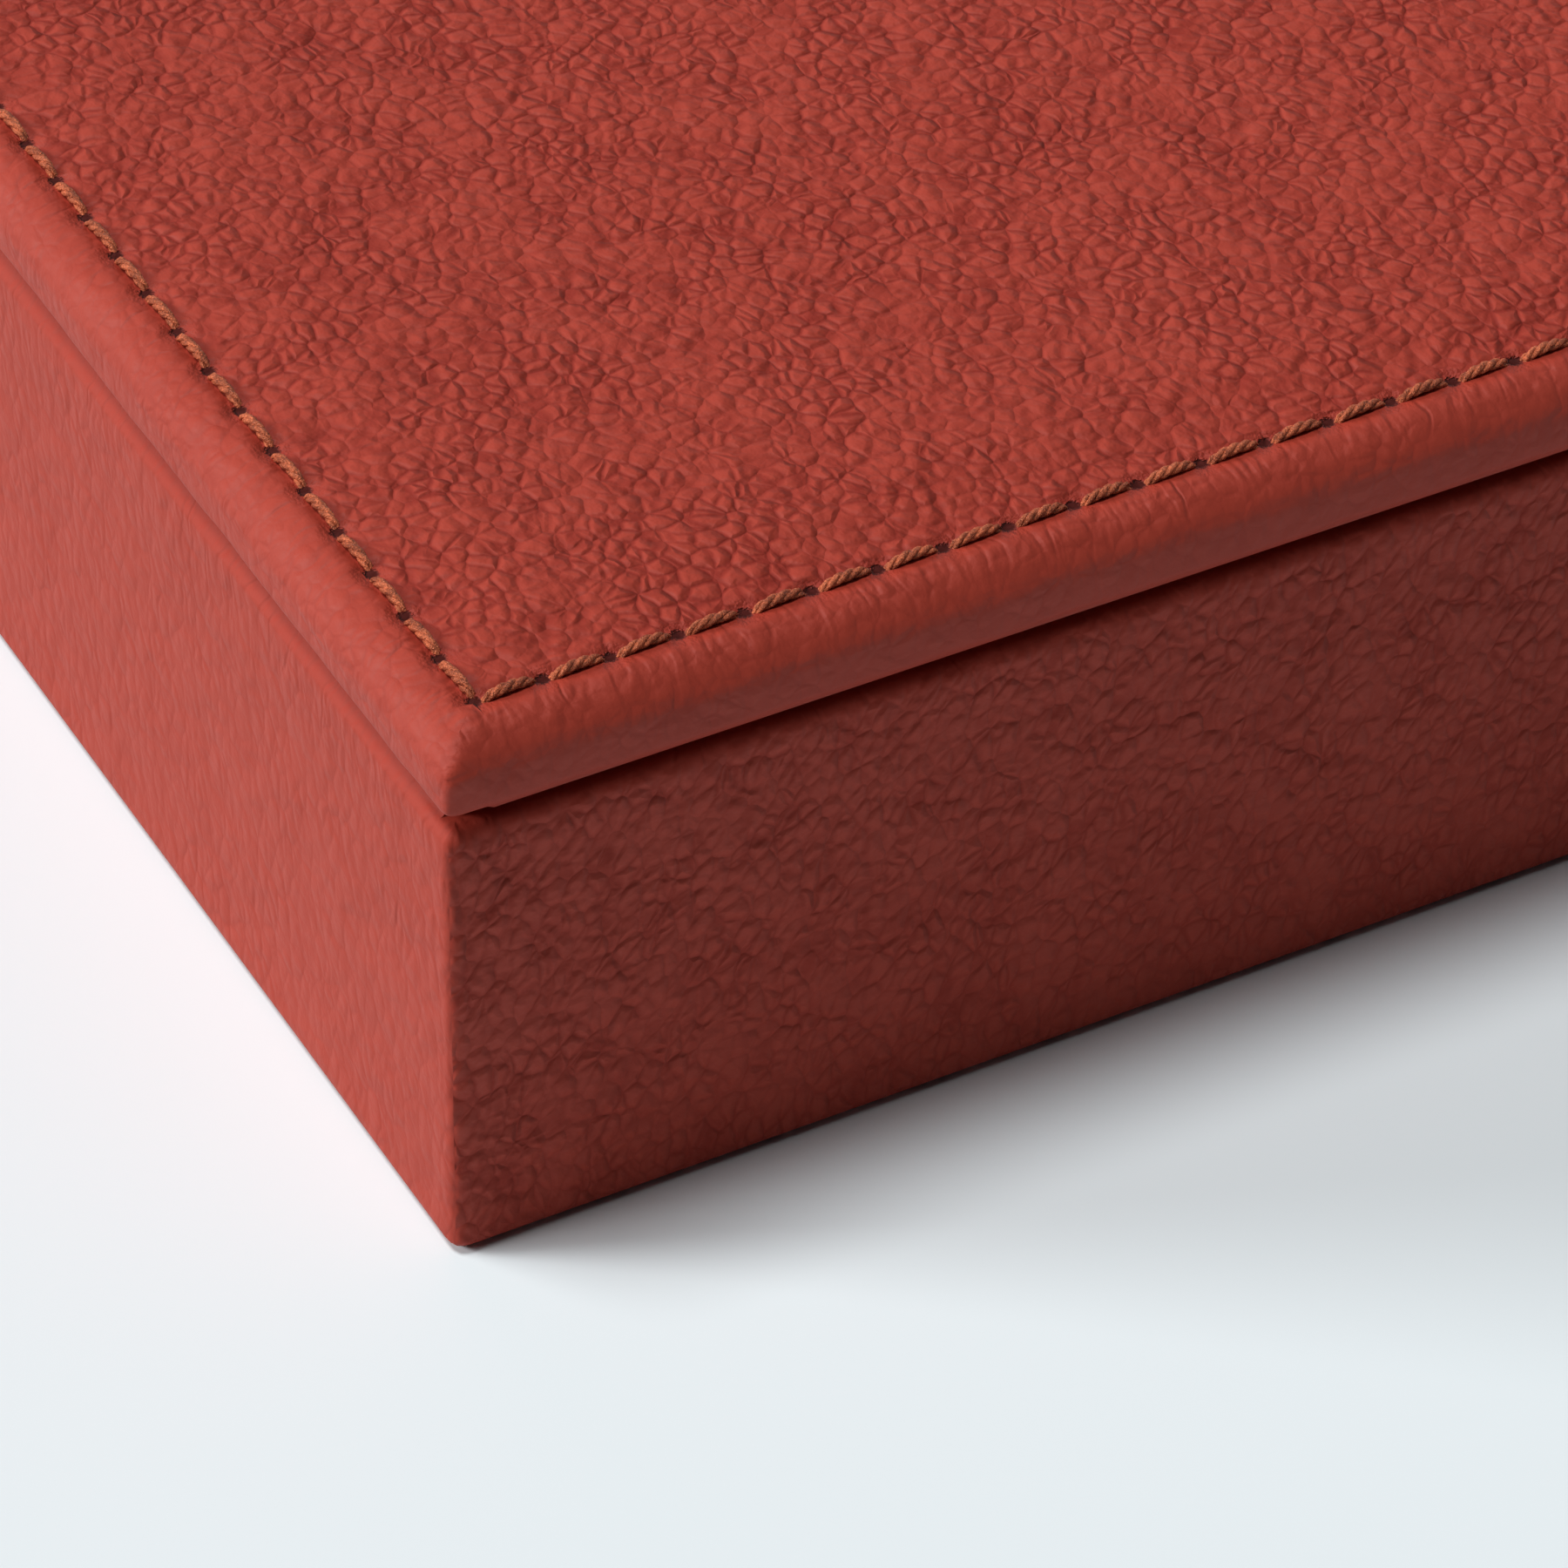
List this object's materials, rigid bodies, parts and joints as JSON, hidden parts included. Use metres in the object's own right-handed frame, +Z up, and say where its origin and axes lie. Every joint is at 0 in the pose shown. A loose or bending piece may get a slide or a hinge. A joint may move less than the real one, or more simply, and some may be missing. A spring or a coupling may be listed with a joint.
{
  "type": "lidded valet tray",
  "caption": "Low rectangular leather-wrapped valet tray with a flat padded lid on a full-width leather hinge, lined inside, for papers and keepsakes.",
  "frame": {"origin": "centre of the underside, on the surface that the tray stands on", "axes": "+X along the long side, +Y towards the hinge at the back, +Z up"},
  "size_m": [0.24, 0.17, 0.0355],
  "materials": {
    "outer_leather": "satin",
    "hinge_lining": "satin",
    "suede": "matte",
    "base_microfibre": "matte",
    "board": "matte",
    "card": "matte",
    "foam": "matte"
  },
  "bodies": {
    "root": {"front_wall": "board", "right_wall": "board", "back_wall": "board", "left_wall": "board", "base_board": "board", "base_cover": "base_microfibre", "wall_leather": "outer_leather", "hinge_leather": "outer_leather", "inner_hinge": "hinge_lining", "floor_card": "card", "floor_foam": "foam", "floor_lining": "suede", "front_lining": "suede", "back_lining": "suede", "left_lining": "suede", "right_lining": "suede"},
    "lid": {"lid_board": "board", "lid_padding": "foam", "lid_leather": "outer_leather", "lid_infill": "card", "lid_panel_card": "card", "lid_panel_lining": "suede"}
  },
  "joints": [
    {"name": "lid_hinge", "type": "hinge", "parent": "root", "child": "lid", "pos_m": [0, 0.08525, 0.02985], "axis": [-1, 0, 0], "range_deg": [0, 180], "deforming": ["hinge_leather", "inner_hinge"]}
  ]
}
